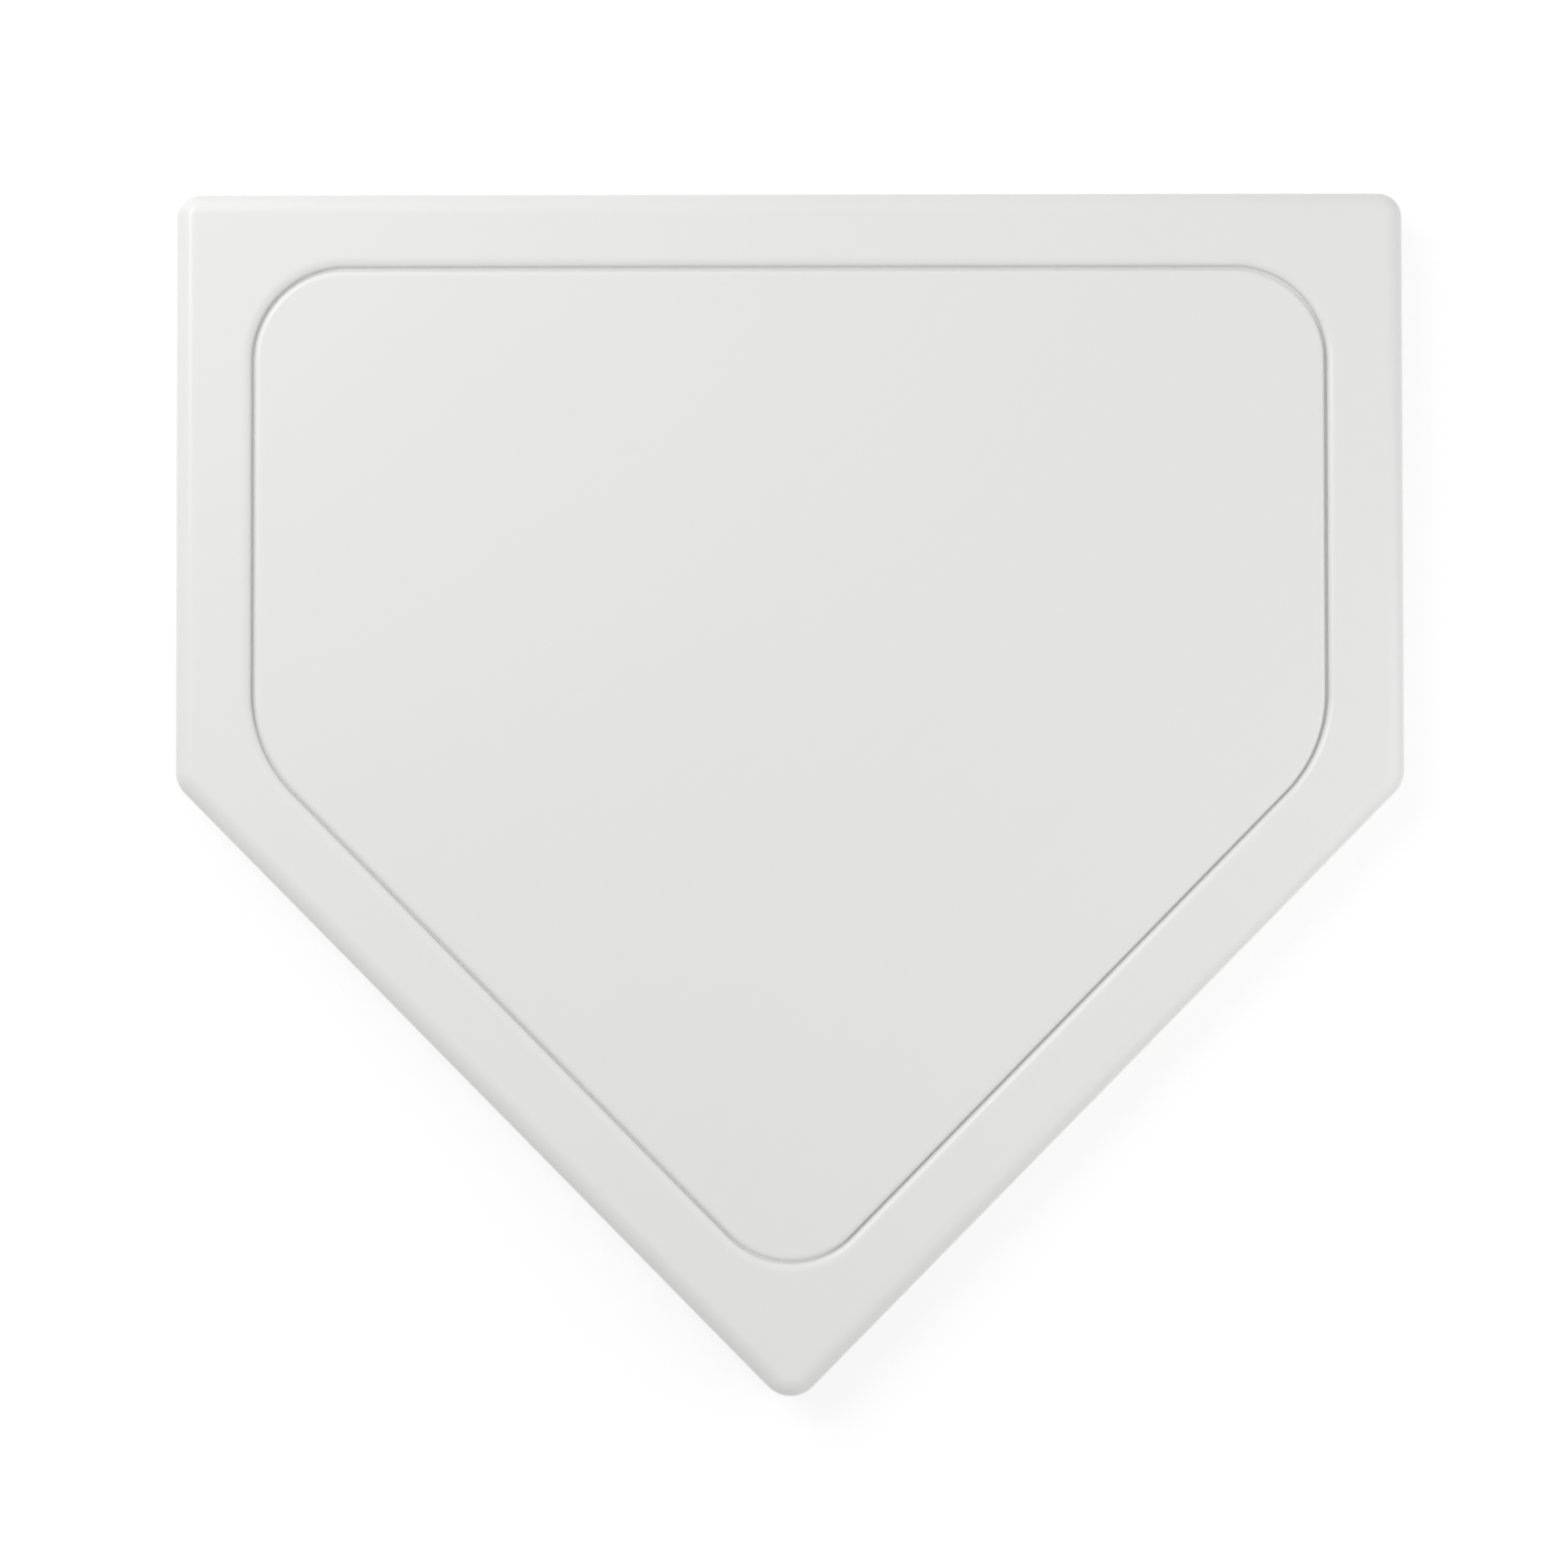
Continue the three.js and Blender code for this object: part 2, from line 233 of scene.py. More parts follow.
carve(board, board_tools)

COLOUR_A = 6  # a Mix node's sockets for colours
COLOUR_B = 7
COLOUR_OUT = 2
VENEER_PALE = (0.63, 0.45, 0.26, 1)
VENEER_DEEP = (0.50, 0.33, 0.17, 1)
VENEER_STRETCH = (2.2, 16, 16)
FIGURE_SCALE = 0.55
FIGURE_WANDER = 9
FIGURE_DETAIL = 2
FIGURE_DETAIL_SCALE = 0.8
DRIFT_SCALE = 1.6
DRIFT_DETAIL = 3
PORE_BROWN = (0.33, 0.20, 0.10, 1)
PORE_STRETCH = (60, 1700, 1700)
PORE_DETAIL = 2
PORE_RANGE = (0.60, 0.74)
PORE_BUMP = 0.35
PORE_DEPTH = 0.00008
END_GRAIN = (0.40, 0.26, 0.13, 1)
PLY_COUNT = 9
FACE_LEVEL = 0.8
PLYWOOD_ROUGHNESS = (0.42, 0.62)


def new_finish(name):
    """A material, its node tree and its surface shader."""
    finish = bpy.data.materials.new(name)
    finish.use_nodes = True
    return finish, finish.node_tree, finish.node_tree.nodes["Principled BSDF"]


def feed(tree, node, inputs):
    """Sets a shader node's inputs to values, or links them to the sockets that feed them."""
    for name, value in inputs.items():
        if isinstance(value, bpy.types.NodeSocket):
            tree.links.new(value, node.inputs[name])
        else:
            node.inputs[name].default_value = value


def wire(tree, kind, inputs=None, **settings):
    """Adds a shader node with its settings, and feeds its inputs."""
    made = tree.nodes.new("ShaderNode" + kind)
    for name, value in settings.items():
        setattr(made, name, value)
    feed(tree, made, inputs or {})
    return made


def calc(tree, operation, *values):
    """The result of one step of arithmetic on values or sockets."""
    return wire(tree, "Math", dict(enumerate(values)), operation=operation).outputs[0]


def remap(tree, value, given=(0, 1), wanted=(0, 1)):
    """A value carried over from one range to another, and held inside it."""
    return wire(tree, "MapRange", {
        "Value": value, "From Min": given[0], "From Max": given[1], "To Min": wanted[0], "To Max": wanted[1],
    }).outputs[0]


def blend_colours(tree, factor, first, second, mode="MIX"):
    """The second colour laid over the first."""
    mixed = wire(tree, "Mix", {"Factor": factor, COLOUR_A: first, COLOUR_B: second},
                 data_type="RGBA", blend_type=mode)
    return mixed.outputs[COLOUR_OUT]


def own_place(tree):
    """Where a point lies in the piece's own coordinates."""
    return wire(tree, "TexCoord").outputs["Object"]


def facing_up(tree):
    """How a surface faces: 1 on a top, 0 on a wall and -1 on an underside."""
    return wire(tree, "SeparateXYZ", {0: wire(tree, "NewGeometry").outputs["Normal"]}).outputs["Z"]


def stretched(tree, spot, stretch):
    """Places scaled by a number of its own along each axis."""
    return wire(tree, "Mapping", {"Vector": spot, "Scale": stretch}).outputs[0]


def noise(tree, spot, detail, scale=1, roughness=0.5):
    """Clouds from 0 to 1."""
    return wire(tree, "TexNoise", {
        "Vector": spot, "Scale": scale, "Detail": detail, "Roughness": roughness,
    }).outputs["Fac"]


def plywood():
    """Sealed plywood: long veneer figure and pores on the faces, and plies along the cut edges."""
    finish, tree, surface = new_finish("sealed_plywood")
    spot = own_place(tree)
    along = stretched(tree, spot, VENEER_STRETCH)
    figure = wire(tree, "TexWave", {
        "Vector": along, "Scale": FIGURE_SCALE, "Distortion": FIGURE_WANDER, "Detail": FIGURE_DETAIL,
        "Detail Scale": FIGURE_DETAIL_SCALE,
    }, bands_direction="Y").outputs["Fac"]
    drift = noise(tree, along, DRIFT_DETAIL, DRIFT_SCALE)
    pores = noise(tree, stretched(tree, spot, PORE_STRETCH), PORE_DETAIL)
    veneer = blend_colours(tree, figure, VENEER_PALE, VENEER_DEEP)
    veneer = blend_colours(tree, drift, veneer, VENEER_PALE)
    veneer = blend_colours(tree, remap(tree, pores, PORE_RANGE), veneer, PORE_BROWN)
    height = wire(tree, "SeparateXYZ", {0: spot}).outputs["Z"]
    plies = calc(tree, "MULTIPLY", height, math.pi * PLY_COUNT / board_high.z)
    layer = calc(tree, "SIGN", calc(tree, "SINE", plies))
    edge = blend_colours(tree, remap(tree, layer, (-1, 1)), VENEER_PALE, END_GRAIN)
    on_face = calc(tree, "GREATER_THAN", calc(tree, "ABSOLUTE", facing_up(tree)), FACE_LEVEL)
    grain = wire(tree, "Bump", {"Height": pores, "Strength": PORE_BUMP, "Distance": PORE_DEPTH})
    feed(tree, surface, {
        "Base Color": blend_colours(tree, on_face, edge, veneer),
        "Roughness": remap(tree, pores, wanted=PLYWOOD_ROUGHNESS),
        "Normal": grain.outputs[0],
    })
    return finish


board.data.materials.append(plywood())
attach(board, "root")
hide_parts("core_board")


# Spike sockets
# Pronged tee nuts of zinc-plated steel: a flange stamped with a drawn barrel, tapped 3/8 in coarse.
# Each is driven into the top of the board, and its thread opens in the underside for a ground spike.

SOCKET_BORE_RADIUS = 0.004
THREAD_OUTER_RADIUS = 0.00476
THREAD_PITCH = 0.0015875
THREAD_STEPS = 8
THREAD_FLAT = 0.1
METAL_EASE = 0.0003
THREAD_INSET = 2 * METAL_EASE


def ridge(turns):
    """Height of a thread at a number of turns along it, from its flat root at 0 to its flat crest at 1."""
    wave = 1 - abs(2 * (turns % 1) - 1)
    return min(1, max(0, (wave - THREAD_FLAT) / (1 - 2 * THREAD_FLAT)))


def turned(name, profile, closed, pitch=1):
    """A piece turned about Z: a profile of (radius, height, thread depth), and the pitch of its thread.
    The profile closes on itself, or else starts and ends on the axis."""
    shape = bmesh.new()
    rows = []
    for radius, z, depth in profile:
        ring = []
        for i in range(TURNED_SIDES if radius else 1):
            share = i / TURNED_SIDES
            angle = math.tau * share
            reach = radius + depth * ridge(z / pitch - share)
            ring.append(shape.verts.new((reach * math.cos(angle), reach * math.sin(angle), z)))
        rows.append(ring)
    if closed:
        rows.append(rows[0])
    for low, high in zip(rows, rows[1:]):
        for i in range(TURNED_SIDES):
            if len(low) == 1:
                shape.faces.new((low[0], high[i], high[i - 1]))
            elif len(high) == 1:
                shape.faces.new((low[i - 1], low[i], high[0]))
            else:
                shape.faces.new((low[i - 1], low[i], high[i], high[i - 1]))
    return piece_from(name, shape)


socket_low, socket_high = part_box(socket_nodes[0])
flange_low = socket_high.z - SOCKET_FLANGE_THICKNESS
flange_radius = half_width(socket_nodes[0])
thread_start = socket_high.z - THREAD_INSET
thread_rows = int((thread_start - socket_low.z - THREAD_INSET) / THREAD_PITCH * THREAD_STEPS)
thread_heights = [thread_start - row * THREAD_PITCH / THREAD_STEPS for row in range(thread_rows)]
socket = turned("tee_nut", [
    (THREAD_OUTER_RADIUS, socket_low.z, 0),
    (SOCKET_BARREL_RADIUS - METAL_EASE, socket_low.z, 0),
    (SOCKET_BARREL_RADIUS, socket_low.z + METAL_EASE, 0),
    (SOCKET_BARREL_RADIUS, flange_low - METAL_EASE, 0),
    (SOCKET_BARREL_RADIUS + METAL_EASE, flange_low, 0),
    (flange_radius - METAL_EASE, flange_low, 0),
    (flange_radius, flange_low + METAL_EASE, 0),
    (flange_radius, socket_high.z - METAL_EASE, 0),
    (flange_radius - METAL_EASE, socket_high.z, 0),
    (THREAD_OUTER_RADIUS, socket_high.z, 0),
    *[(SOCKET_BORE_RADIUS, z, THREAD_OUTER_RADIUS - SOCKET_BORE_RADIUS) for z in thread_heights],
], closed=True, pitch=THREAD_PITCH)
carve(socket, [prong_block(Vector((0, 0)), turn, 0) for turn in prong_turns], "UNION")

ZINC_GREY = (0.55, 0.56, 0.58, 1)
ZINC_BLUE = (0.47, 0.50, 0.56, 1)
ZINC_STRAW = (0.58, 0.55, 0.49, 1)
ZINC_ROUGHNESS = (0.24, 0.46)
CRYSTAL_SCALE = 420
CRYSTAL_DETAIL = 4
CRYSTAL_ROUGHNESS = 0.6
TINT_SCALE = 160
TINT_DETAIL = 2
TINT_RANGE = (0.5, 0.75)
TINT_MOST = 0.6
MARK_STRETCH = (900, 900, 6000)
MARK_DETAIL = 2
MARK_BUMP = 0.15
MARK_DEPTH = 0.00002


def zinc_plate():
    """Bright zinc plate: crystal clouds, a faint passivated tint and fine drawing marks."""
    finish, tree, surface = new_finish("zinc_plate")
    spot = own_place(tree)
    crystals = noise(tree, spot, CRYSTAL_DETAIL, CRYSTAL_SCALE, CRYSTAL_ROUGHNESS)
    tint = remap(tree, noise(tree, spot, TINT_DETAIL, TINT_SCALE), TINT_RANGE, (0, TINT_MOST))
    marks = noise(tree, stretched(tree, spot, MARK_STRETCH), MARK_DETAIL)
    plate = blend_colours(tree, crystals, ZINC_GREY, ZINC_BLUE)
    drawn = wire(tree, "Bump", {"Height": marks, "Strength": MARK_BUMP, "Distance": MARK_DEPTH})
    feed(tree, surface, {
        "Base Color": blend_colours(tree, tint, plate, ZINC_STRAW),
        "Metallic": 1,
        "Roughness": remap(tree, crystals, wanted=ZINC_ROUGHNESS),
        "Normal": drawn.outputs[0],
    })
    return finish


zinc = zinc_plate()


def set_copies(pattern, cad_nodes, node_stem, piece_stem):
    """One zinc-plated copy of a turned piece at each of its CAD nodes."""
    pattern.data.materials.append(zinc)
    for node in cad_nodes:
        copy = add_object(node.replace(node_stem, piece_stem), pattern.data)
        copy.location = (*middle(node).xy, 0)
        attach(copy, "root")
        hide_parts(node)
    bpy.data.objects.remove(pattern)


set_copies(socket, socket_nodes, "spike_socket", "tee_nut")


# Rim cover
# One moulding of white rubber: skirt, rounded border and the web that lies on the board.
# The web has a counterbored hole for each screw, and the border rolls down into the joint line.

EDGE_ROUND = 0.0076
FRONT_FACE_CORNER = 0.0009
SHOULDER_FACE_CORNER = 0.0029
APEX_FACE_CORNER = 0.0035
SOLE_CHAMFER = 0.0012
PARTING_BEAD = 0.00018
BORDER_FRONT = 0.0264
BORDER_SIDE = 0.0273
BORDER_SLOPE = 0.02745
LIP_REACH = 0.0034
LIP_DROP = 0.002
RECESS_FRONT_CORNER = 0.0328
RECESS_SHOULDER_CORNER = 0.051
RECESS_APEX_CORNER = 0.0301
ROUND_STEPS = 14
FLAT_GUARD = 0.0004
ROLL_IN = -1
ROLL_OUT = 1

panel_low, panel_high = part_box("top_panel")
recess_floor = panel_low.z - FIT_GAP
cavity_top = board_high.z + FIT_GAP
bead_low = rim_low.z + SOLE_CHAMFER
bead_high = bead_low + 3 * PARTING_BEAD
outline = Plan(0, 0, 0, EDGE_ROUND + FRONT_FACE_CORNER, EDGE_ROUND + SHOULDER_FACE_CORNER,
               EDGE_ROUND + APEX_FACE_CORNER)
recess = Plan(BORDER_FRONT, BORDER_SIDE, BORDER_SLOPE, RECESS_FRONT_CORNER, RECESS_SHOULDER_CORNER,
              RECESS_APEX_CORNER)


def rolled_edge(plan, way, reach, drop, top):
    """Rings of an edge that rolls in or out from the top of a wall to a flat, and one more on the flat."""
    rings = []
    for step in range(ROUND_STEPS + 1):
        angle = math.pi / 2 * step / ROUND_STEPS
        grow = way * reach * (1 - math.cos(angle))
        rings.append(plan_ring(plan, grow, top - drop * (1 - math.sin(angle))))
    rings.append(plan_ring(plan, way * (reach + FLAT_GUARD), top))
    return rings


rim = skinned("moulded_rim", [
    plan_ring(cavity, 0, cavity_top),
    plan_ring(cavity, 0, rim_low.z),
    plan_ring(outline, -SOLE_CHAMFER, rim_low.z),
    plan_ring(outline, 0, bead_low),
    plan_ring(outline, PARTING_BEAD, bead_low + PARTING_BEAD),
    plan_ring(outline, PARTING_BEAD, bead_high - PARTING_BEAD),
    plan_ring(outline, 0, bead_high),
    plan_ring(outline, 0, bead_high + FLAT_GUARD),
    *rolled_edge(outline, ROLL_IN, EDGE_ROUND, EDGE_ROUND, rim_high.z),
    *reversed(rolled_edge(recess, ROLL_OUT, LIP_REACH, LIP_DROP, rim_high.z)),
    plan_ring(recess, 0, recess_floor),
])
washer_nodes = nodes_named("cover_washer_")
rim_tools = []
for node in washer_nodes:
    place = middle(node)
    washer_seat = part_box(node)[0].z - FIT_GAP
    rim_tools.append(drum(half_width(node) + FIT_GAP, washer_seat, recess_floor + OVERCUT, place))
    rim_tools.append(drum(SCREW_SHANK_RADIUS + FIT_GAP, cavity_top - OVERCUT, recess_floor, place))
carve(rim, rim_tools)

GRAIN_DETAIL = 3
GRAIN_SWING = (-0.5, 0.5)
GRAIN_BUMP = 0.5
CLOUD_DETAIL = 4
STREAK_STRETCH = (9, 120, 120)
STREAK_DETAIL = 3
UNEVEN_RANGE = (0.4, 1.6)
TONE_RANGE = (0.992, 1.008)
RUBBER_ROUGHNESS = (0.58, 0.68)
RUBBER_IOR = 1.5
FLAT_LEVEL = 0.978
WALL_LEVEL = 0.3
RUBBED_ROUGHNESS = 0.47
RUBBED_GRAIN = 0.1


def rubber_skin():
    """What moulded rubber shows close up: fine grain from the mould, soft clouds and faint flow streaks.
    Rolled edges, which are neither flat nor upright, are rubbed smoother."""
    group = bpy.data.node_groups.new("rubber_skin", "ShaderNodeTree")
    for socket_name in ("Grain Scale", "Cloud Scale", "Streak Turn"):
        group.interface.new_socket(socket_name, in_out="INPUT", socket_type="NodeSocketFloat")
    for socket_name in ("Tone", "Roughness", "Height"):
        group.interface.new_socket(socket_name, in_out="OUTPUT", socket_type="NodeSocketFloat")
    given = group.nodes.new("NodeGroupInput").outputs
    result = group.nodes.new("NodeGroupOutput")
    spot = own_place(group)
    grain = noise(group, spot, GRAIN_DETAIL, given["Grain Scale"])
    cloud = noise(group, spot, CLOUD_DETAIL, given["Cloud Scale"])
    flow = wire(group, "VectorRotate", {"Vector": spot, "Angle": given["Streak Turn"]},
                rotation_type="Z_AXIS").outputs[0]
    streak = noise(group, stretched(group, flow, STREAK_STRETCH), STREAK_DETAIL)
    uneven = calc(group, "ADD", cloud, streak)
    up = facing_up(group)
    off_flat = remap(group, up, (FLAT_LEVEL, 1), (1, 0))
    off_wall = remap(group, up, (0, WALL_LEVEL))
    rolled = calc(group, "MULTIPLY", off_flat, off_wall)
    rough = remap(group, uneven, UNEVEN_RANGE, RUBBER_ROUGHNESS)
    rough_left = remap(group, rolled, wanted=(1, RUBBED_ROUGHNESS))
    grain_left = remap(group, rolled, wanted=(1, RUBBED_GRAIN))
    feed(group, result, {
        "Tone": remap(group, uneven, UNEVEN_RANGE, TONE_RANGE),
        "Roughness": calc(group, "MULTIPLY", rough, rough_left),
        "Height": calc(group, "MULTIPLY", remap(group, grain, wanted=GRAIN_SWING), grain_left),
    })
    return group


skin_detail = rubber_skin()


def white_rubber(name, colour, grain_scale, grain_height, cloud_scale, streak_turn):
    """White moulded rubber, whose grain, clouds and streaks differ from piece to piece."""
    finish, tree, surface = new_finish(name)
    detail = tree.nodes.new("ShaderNodeGroup")
    detail.node_tree = skin_detail
    feed(tree, detail, {"Grain Scale": grain_scale, "Cloud Scale": cloud_scale, "Streak Turn": streak_turn})
    skin = detail.outputs
    bump = wire(tree, "Bump", {"Height": skin["Height"], "Strength": GRAIN_BUMP, "Distance": grain_height})
    feed(tree, surface, {
        "Base Color": blend_colours(tree, 1, colour, skin["Tone"], "MULTIPLY"),
        "Roughness": skin["Roughness"],
        "IOR": RUBBER_IOR,
        "Normal": bump.outputs[0],
    })
    return finish


RIM_WHITE = (0.776, 0.778, 0.768, 1)
RIM_GRAIN_SCALE = 4200
RIM_GRAIN_HEIGHT = 0.00006
RIM_CLOUD_SCALE = 14
RIM_STREAK_TURN = 0.6

rim.data.materials.append(white_rubber(
    "rim_rubber", RIM_WHITE, RIM_GRAIN_SCALE, RIM_GRAIN_HEIGHT, RIM_CLOUD_SCALE, RIM_STREAK_TURN))
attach(rim, "root")
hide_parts("rim_cover")


# Cover washers
# Wide washers stamped from zinc-plated steel, with edges that the punch has rounded over.
# One lies in each counterbore of the web, so that a screw's head doesn't pull through the rubber.

washer_low, washer_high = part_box(washer_nodes[0])
washer_radius = half_width(washer_nodes[0])
hole_radius = SCREW_SHANK_RADIUS + FIT_GAP
washer = turned("stamped_washer", [
    (hole_radius, washer_low.z + METAL_EASE, 0),
    (hole_radius + METAL_EASE, washer_low.z, 0),
    (washer_radius, washer_low.z, 0),
    (washer_radius, washer_high.z - METAL_EASE, 0),
    (washer_radius - METAL_EASE, washer_high.z, 0),
    (hole_radius, washer_high.z, 0),
], closed=True)
set_copies(washer, washer_nodes, "cover_washer", "stamped_washer")


# Cover screws
# Pan-head wood screws of zinc-plated steel, with a thread up to a plain shank and a cross recess.
# They are driven through the washers and the web into the board, before the panel is glued over them.

SCREW_CORE_RADIUS = 0.00145
SCREW_PITCH = 0.0018
SCREW_POINT_LENGTH = 0.004
SCREW_HEAD_RIM = 0.0009
SCREW_HEAD_DOME = 0.0011
PLAIN_SHANK = 0.003
DOME_STEPS = 8
DRIVE_SLOT_LENGTH = 0.0046
DRIVE_SLOT_WIDTH = 0.001
DRIVE_SLOT_DEPTH = 0.0013
DRIVE_SLOT_TAPER = 0.6
DRIVE_SLOT_TURN = math.radians(20)

screw_low, screw_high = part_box(screw_nodes[0])
head_radius = half_width(screw_nodes[0])
head_seat = screw_high.z - SCREW_HEAD_RIM - SCREW_HEAD_DOME
thread_end = head_seat - PLAIN_SHANK
screw_rows = int((thread_end - screw_low.z) / SCREW_PITCH * THREAD_STEPS)
profile = [(0, screw_low.z, 0)]
for step in range(1, screw_rows + 1):
    rise = step * SCREW_PITCH / THREAD_STEPS
    share = min(1, rise / SCREW_POINT_LENGTH)
    thread_depth = (SCREW_SHANK_RADIUS - SCREW_CORE_RADIUS) * share
    profile.append((SCREW_CORE_RADIUS * share, screw_low.z + rise, thread_depth))
profile += [
    (SCREW_SHANK_RADIUS, thread_end + SCREW_PITCH / 2, 0),
    (SCREW_SHANK_RADIUS, head_seat, 0),
    (head_radius - METAL_EASE, head_seat, 0),
    (head_radius, head_seat + METAL_EASE, 0),
]
for step in range(DOME_STEPS + 1):
    angle = math.pi / 2 * step / DOME_STEPS
    radius = head_radius * math.cos(angle) if step < DOME_STEPS else 0
    profile.append((radius, head_seat + SCREW_HEAD_RIM + SCREW_HEAD_DOME * math.sin(angle), 0))
screw = turned("wood_screw", profile, closed=False, pitch=SCREW_PITCH)


def drive_slot(turn):
    """One bar of the cross recess in a screw head, shorter at its floor."""
    height = DRIVE_SLOT_DEPTH + OVERCUT
    centre = (0, 0, screw_high.z + OVERCUT - height / 2)
    shape = block((DRIVE_SLOT_LENGTH, DRIVE_SLOT_WIDTH, height), centre)
    for corner in shape.verts:
        if corner.co.z < screw_high.z:
            corner.co.x *= DRIVE_SLOT_TAPER
    shape.transform(Matrix.Rotation(turn, 4, "Z"))
    return piece_from("slot", shape)


carve(screw, [drive_slot(DRIVE_SLOT_TURN), drive_slot(DRIVE_SLOT_TURN + math.pi / 2)])
set_copies(screw, screw_nodes, "cover_screw", "wood_screw")


# Top panel
# A sheet of white rubber, moulded with a soft top edge and glued into the recess over the screws.
# It lies flush with the border. The joint line round it is open, down to the panel's own foot.

PANEL_EDGE_REACH = 0.002
PANEL_EDGE_DROP = 0.0014
FRONT_GAP = 0.0015
SIDE_GAP = 0.0013
SLOPE_GAP = 0.0008
FRONT_GAP_DEPTH = 0.00255
SIDE_GAP_DEPTH = 0.0029
SLOPE_GAP_DEPTH = 0.0024
APEX_RISE = 0.0007
APEX_INDEX = 3  # among a plan's corners, counted from 0
PANEL_WHITE = (0.772, 0.774, 0.765, 1)
PANEL_GRAIN_SCALE = 5000
PANEL_GRAIN_HEIGHT = 0.00005
PANEL_CLOUD_SCALE = 11
PANEL_STREAK_TURN = -0.75

panel_edge = Plan(BORDER_FRONT + FRONT_GAP, BORDER_SIDE + SIDE_GAP, BORDER_SLOPE + SLOPE_GAP,
                  RECESS_FRONT_CORNER - SIDE_GAP, RECESS_SHOULDER_CORNER - SIDE_GAP,
                  RECESS_APEX_CORNER - SLOPE_GAP)


def sunk(ring):
    """A ring let down to the floor of the joint line.
    Round each corner the floor goes from one side's depth to the next one's, and it rises at the apex."""
    depths = [SIDE_GAP_DEPTH, FRONT_GAP_DEPTH, SIDE_GAP_DEPTH, SLOPE_GAP_DEPTH, SLOPE_GAP_DEPTH]
    lowered = []
    for i, (x, y, z) in enumerate(ring):
        corner, step = divmod(i, CORNER_STEPS + 1)
        share = step / CORNER_STEPS
        depth = depths[corner] * (1 - share) + depths[(corner + 1) % len(depths)] * share
        if corner == APEX_INDEX:
            depth -= APEX_RISE * math.sin(math.pi * share)
        lowered.append((x, y, z - depth))
    return lowered


panel = skinned("flush_panel", [
    plan_ring(recess, 0, panel_low.z),
    sunk(plan_ring(recess, 0, panel_high.z)),
    sunk(plan_ring(panel_edge, 0, panel_high.z)),
    *rolled_edge(panel_edge, ROLL_IN, PANEL_EDGE_REACH, PANEL_EDGE_DROP, panel_high.z),
])
panel.data.materials.append(white_rubber(
    "panel_rubber", PANEL_WHITE, PANEL_GRAIN_SCALE, PANEL_GRAIN_HEIGHT, PANEL_CLOUD_SCALE, PANEL_STREAK_TURN))
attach(panel, "root")
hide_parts("top_panel")


# Studio
# A white floor, open under the plate, that glows less near it, so that the plate's shadow shows.
# Soft light comes from all round, from a key lamp and a low one at the upper left, and from one at the
# right. The camera looks almost straight down.

FLOOR_REACH = 6
FLOOR_BOUNCE = (0.68, 0.68, 0.68, 1)
FLOOR_SEEN = (0.35, 0.35, 0.35, 1)
GLOW_RANGE = (0.2, 1)
GLOW_LEVELS = (0.685, 0.795)
SKY_LIGHT = 0.598
SKY_SEEN = 1
WHITE = (1, 1, 1, 1)


def seen_straight(tree):
    """1 for rays from the camera, mirror reflections and see-through parts, and 0 for bounced light."""
    path = wire(tree, "LightPath").outputs
    mirrored = calc(tree, "MAXIMUM", path["Is Camera Ray"], path["Is Glossy Ray"])
    return calc(tree, "MAXIMUM", mirrored, path["Is Transmission Ray"])


shape = bmesh.new()
outer_edge = [shape.verts.new(point) for point in plan_ring(outline, FLOOR_REACH, rim_low.z)]
inner_edge = [shape.verts.new(point) for point in plan_ring(outline, -SOLE_CHAMFER, rim_low.z)]
for i, corner in enumerate(outer_edge):
    shape.faces.new((outer_edge[i - 1], corner, inner_edge[i], inner_edge[i - 1]))
floor = piece_from("floor", shape, closed=False)
floor_finish, tree, surface = new_finish("white_floor")
tree.nodes.remove(surface)
away = wire(tree, "VectorMath", {0: own_place(tree)}, operation="LENGTH").outputs["Value"]
glow = wire(tree, "Emission", {"Color": WHITE, "Strength": remap(tree, away, GLOW_RANGE, GLOW_LEVELS)})
lit = wire(tree, "BsdfDiffuse", {"Color": FLOOR_SEEN})
shown = wire(tree, "AddShader", {0: lit.outputs[0], 1: glow.outputs[0]})
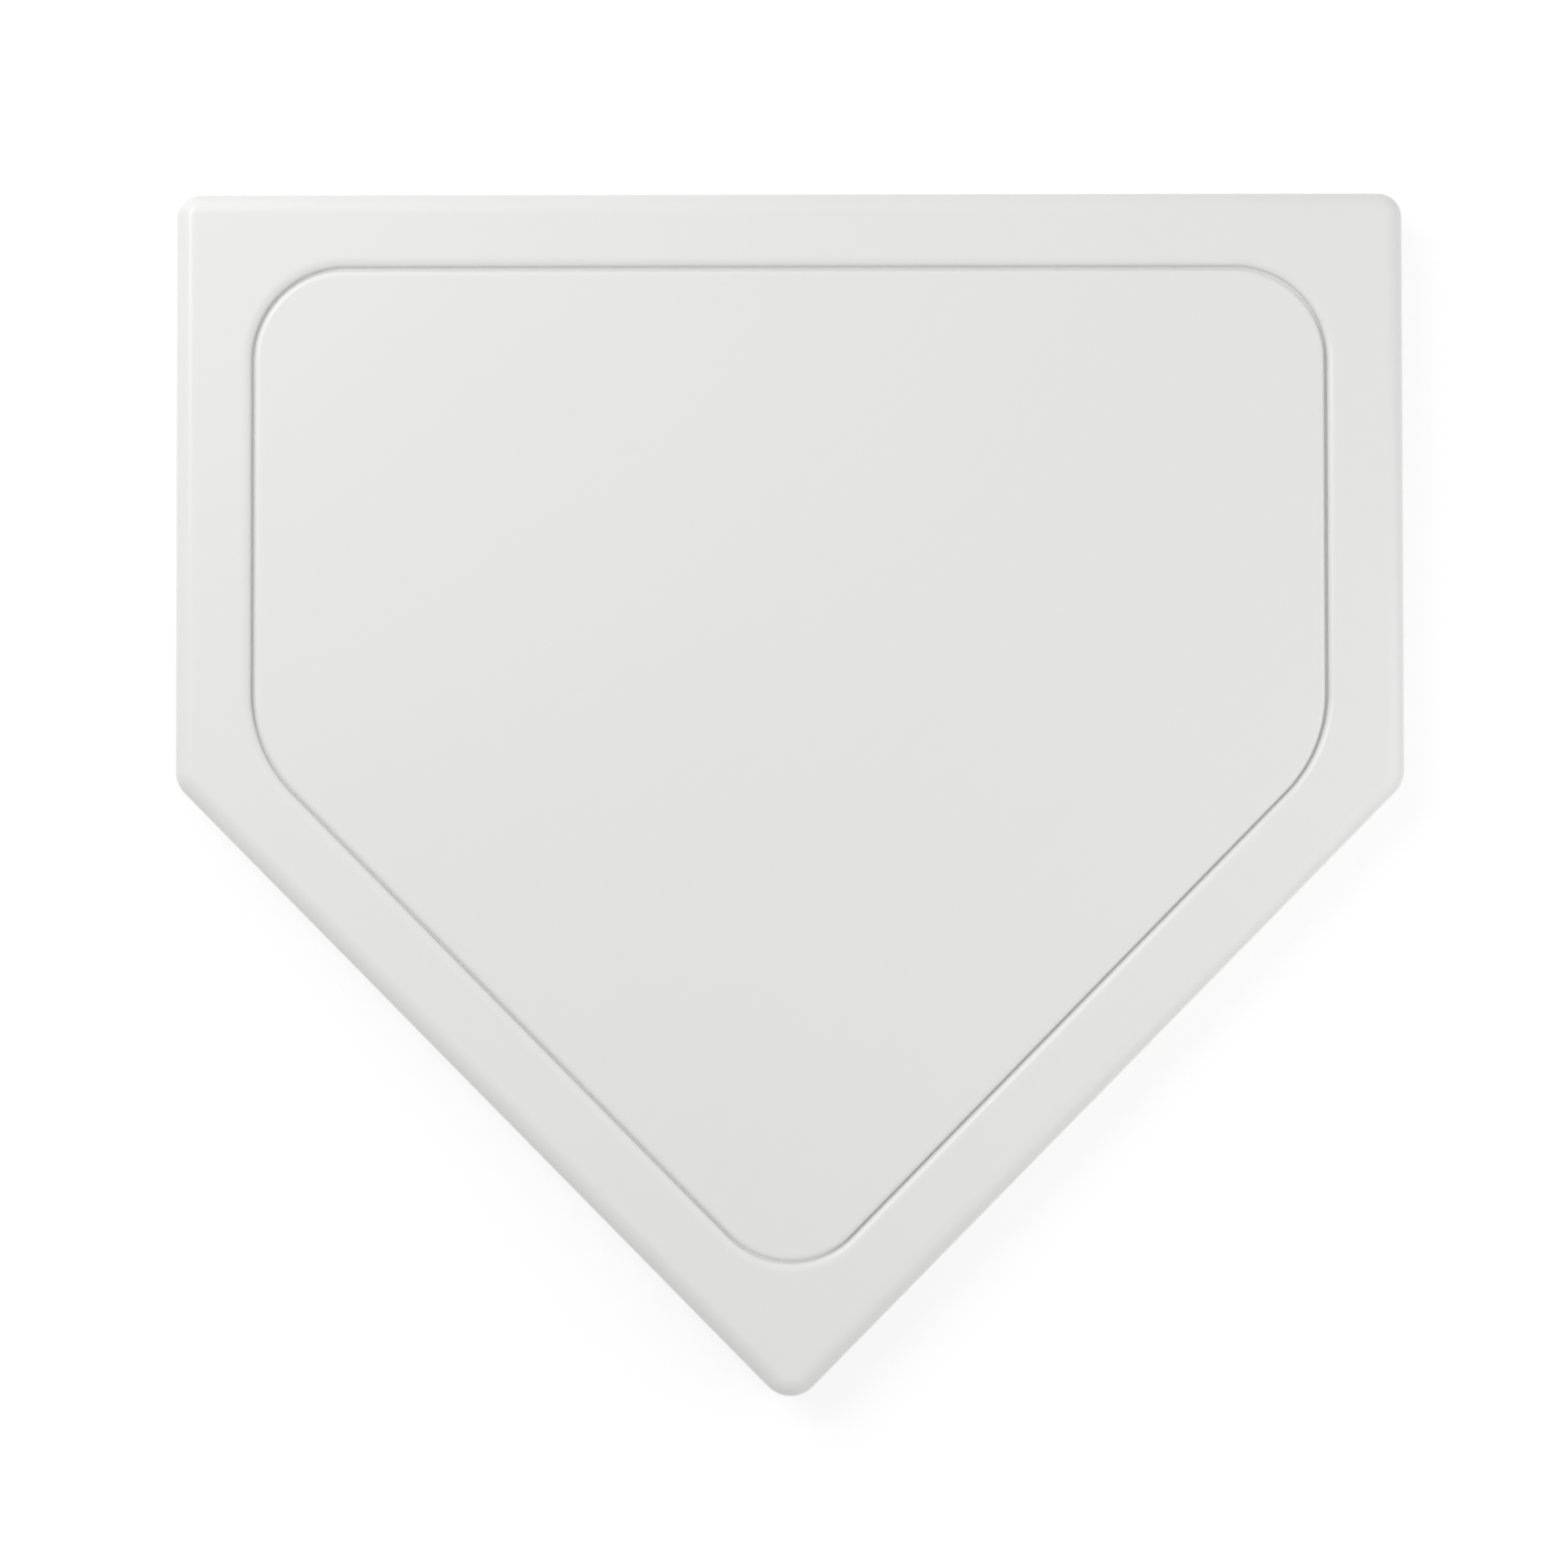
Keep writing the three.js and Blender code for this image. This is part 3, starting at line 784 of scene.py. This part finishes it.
bounce = wire(tree, "BsdfDiffuse", {"Color": FLOOR_BOUNCE})
above = wire(tree, "MixShader", {0: seen_straight(tree), 1: bounce.outputs[0], 2: shown.outputs[0]})
below = wire(tree, "BsdfTransparent")
from_below = wire(tree, "NewGeometry").outputs["Backfacing"]
whole = wire(tree, "MixShader", {0: from_below, 1: above.outputs[0], 2: below.outputs[0]})
feed(tree, tree.nodes["Material Output"], {"Surface": whole.outputs[0]})
floor.data.materials.append(floor_finish)

world = bpy.data.worlds.new("soft_sky")
world.use_nodes = True
bpy.context.scene.world = world
tree = world.node_tree
sky_strength = remap(tree, seen_straight(tree), wanted=(SKY_LIGHT, SKY_SEEN))
feed(tree, tree.nodes["Background"], {"Color": WHITE, "Strength": sky_strength})

KEY_PLACE = (-0.72, 0.57, 1.1)
KEY_SIZE = 0.65
KEY_POWER = 6.25
LOW_PLACE = (-0.53, 0.73, 0.36)
LOW_SIZE = 0.65
LOW_POWER = 1.32
RIGHT_PLACE = (0.58, -0.15, 0.34)
RIGHT_SIZE = 0.68
RIGHT_POWER = 1.27


def softbox(name, place, size, power):
    """A square soft lamp that faces the middle of the plate."""
    lamp = bpy.data.lights.new(name, "AREA")
    lamp.size = size
    lamp.energy = power
    box = add_object(name, lamp)
    box.location = place
    box.rotation_euler = (-Vector(place)).to_track_quat("-Z", "Y").to_euler()


softbox("key_lamp", KEY_PLACE, KEY_SIZE, KEY_POWER)
softbox("low_lamp", LOW_PLACE, LOW_SIZE, LOW_POWER)
softbox("right_lamp", RIGHT_PLACE, RIGHT_SIZE, RIGHT_POWER)

CAMERA_PLACE = (0.00016, -0.01799, 1.1208)
CAMERA_TILT_DEGREES = (1.101, 0.114, -0.074)
LENS_MM = 72

lens = bpy.data.cameras.new("camera")
lens.lens = LENS_MM
camera = add_object("camera", lens)
camera.rotation_mode = "ZYX"
camera.rotation_euler = [math.radians(angle) for angle in CAMERA_TILT_DEGREES]
camera.location = CAMERA_PLACE
bpy.context.scene.camera = camera
bpy.context.scene.view_settings.view_transform = "Standard"
